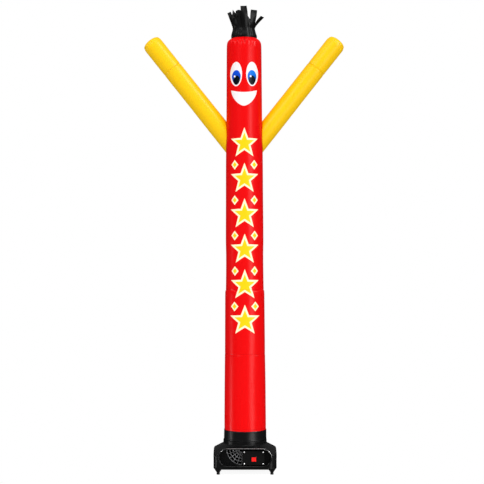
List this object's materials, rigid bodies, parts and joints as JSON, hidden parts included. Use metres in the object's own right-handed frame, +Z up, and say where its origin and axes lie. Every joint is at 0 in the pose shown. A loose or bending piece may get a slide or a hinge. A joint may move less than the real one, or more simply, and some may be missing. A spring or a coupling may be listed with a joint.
{
  "type": "inflatable air dancer with blower",
  "caption": "Tall blown-up red cloth tube figure with raised yellow arms, black strip hair and a printed face, strapped to the outlet of a black floor blower with a rocker switch.",
  "frame": {"origin": "on the ground, under the middle of the object's box", "axes": "+Z up, -Y towards the front with the switch and the face, +X to the right as seen from the front"},
  "size_m": [1.4709, 0.4098, 3.3992],
  "materials": {
    "red_nylon": "smooth coated nylon, blown tight",
    "yellow_nylon": "smooth coated nylon, blown tight",
    "black_cuff": "smooth coated nylon with a soft sheen",
    "black_hair": "thin nylon strips",
    "black_plastic": "moulded, fine grain",
    "guard_wire": "black coated steel",
    "plate_plastic": "matt black plate",
    "bezel_plastic": "satin black",
    "rocker_plastic": "glossy red",
    "screw_steel": "plated screw heads",
    "foot_rubber": "matt black rubber",
    "gland_plastic": "black nylon"
  },
  "bodies": {
    "stand": {"lower_tube": "red_nylon", "upper_tube": "red_nylon", "left_inner_sleeve": "yellow_nylon", "left_outer_sleeve": "yellow_nylon", "left_end_cap": "yellow_nylon", "right_inner_sleeve": "yellow_nylon", "right_outer_sleeve": "yellow_nylon", "right_end_cap": "yellow_nylon", "cuff": "black_cuff", "hair": "black_hair", "blower_housing": "black_plastic", "foot_1": "foot_rubber", "foot_2": "foot_rubber", "foot_3": "foot_rubber", "foot_4": "foot_rubber", "intake_guard": "guard_wire", "switch_plate": "plate_plastic", "screw_1": "screw_steel", "screw_2": "screw_steel", "screw_3": "screw_steel", "screw_4": "screw_steel", "switch_bezel": "bezel_plastic", "cable_gland": "gland_plastic"},
    "rocker": {"switch_rocker": "rocker_plastic"}
  },
  "joints": [
    {"name": "switch_rock", "type": "hinge", "parent": "stand", "child": "rocker", "pos_m": [0.0712, -0.176, 0.1126], "axis": [1, 0, 0], "range_deg": [0, 16]}
  ]
}
